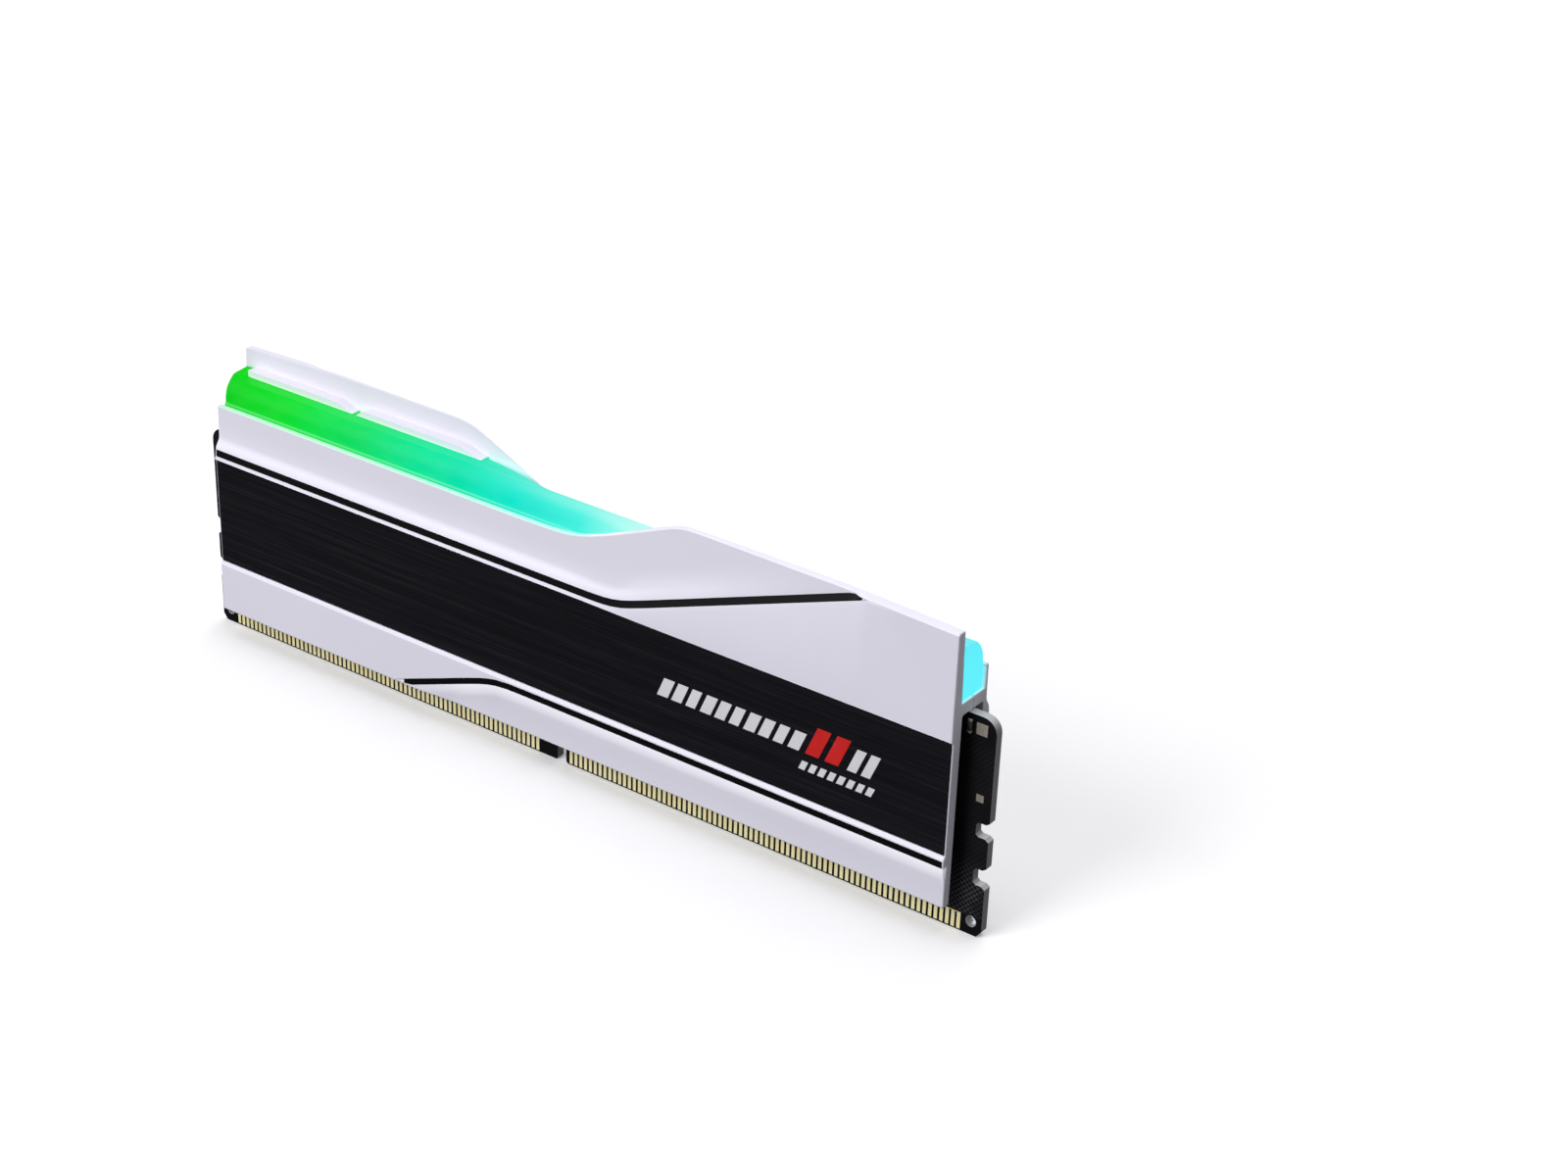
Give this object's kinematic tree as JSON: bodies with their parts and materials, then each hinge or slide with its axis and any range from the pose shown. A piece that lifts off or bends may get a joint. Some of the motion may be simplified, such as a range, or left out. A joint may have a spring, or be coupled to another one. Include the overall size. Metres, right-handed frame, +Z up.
{
  "type": "ram module",
  "caption": "Desktop memory module: black card with edge contacts between two interlocking white heat-spreader shells, black inserts and a lit top bar.",
  "frame": {"origin": "middle of the card's bottom edge, on the card's middle plane", "axes": "+X along the card to the right seen from the front, -Y out of the front face, +Z up from the contacts to the light bar"},
  "size_m": [0.1334, 0.0088, 0.044],
  "materials": {
    "board_black": "black solder mask over glass-epoxy laminate",
    "contact_gold": "hard gold plating, satin",
    "package_epoxy": "moulded black epoxy",
    "inductor_ferrite": "pressed ferrite, matt grey",
    "capacitor_ceramic": "fired tan ceramic",
    "led_lens": "clear-white moulded lens",
    "thermal_pad_grey": "soft silicone gap filler",
    "foam_black": "black foam tape",
    "spreader_white": "white powder paint on aluminium, satin",
    "insert_brushed_black": "black anodised, brushed lengthways",
    "accent_black": "black, satin",
    "light_bar_plastic": "milky diffuser, lit green at the left to cyan at the right"
  },
  "bodies": {
    "root": {"bulk_capacitor_1": "capacitor_ceramic", "bulk_capacitor_2": "capacitor_ceramic", "bulk_capacitor_3": "capacitor_ceramic", "bulk_capacitor_4": "capacitor_ceramic", "circuit_board": "board_black", "contacts_front_left": "contact_gold", "contacts_front_right": "contact_gold", "contacts_rear_left": "contact_gold", "contacts_rear_right": "contact_gold", "dram_chip_1": "package_epoxy", "dram_chip_2": "package_epoxy", "dram_chip_3": "package_epoxy", "dram_chip_4": "package_epoxy", "dram_chip_5": "package_epoxy", "dram_chip_6": "package_epoxy", "dram_chip_7": "package_epoxy", "dram_chip_8": "package_epoxy", "dram_thermal_pad_left": "thermal_pad_grey", "dram_thermal_pad_right": "thermal_pad_grey", "front_accent_lower": "accent_black", "front_accent_upper": "accent_black", "front_heat_spreader": "spreader_white", "front_insert": "insert_brushed_black", "light_bar": "light_bar_plastic", "light_controller_chip": "package_epoxy", "power_inductor_1": "inductor_ferrite", "power_inductor_2": "inductor_ferrite", "power_inductor_3": "inductor_ferrite", "power_management_chip": "package_epoxy", "power_thermal_pad": "thermal_pad_grey", "rear_accent_lower": "accent_black", "rear_accent_upper": "accent_black", "rear_foam_pad": "foam_black", "rear_heat_spreader": "spreader_white", "rear_insert": "insert_brushed_black", "rgb_led_1": "led_lens", "rgb_led_10": "led_lens", "rgb_led_2": "led_lens", "rgb_led_3": "led_lens", "rgb_led_4": "led_lens", "rgb_led_5": "led_lens", "rgb_led_6": "led_lens", "rgb_led_7": "led_lens", "rgb_led_8": "led_lens", "rgb_led_9": "led_lens", "spd_hub_chip": "package_epoxy"}
  },
  "joints": []
}
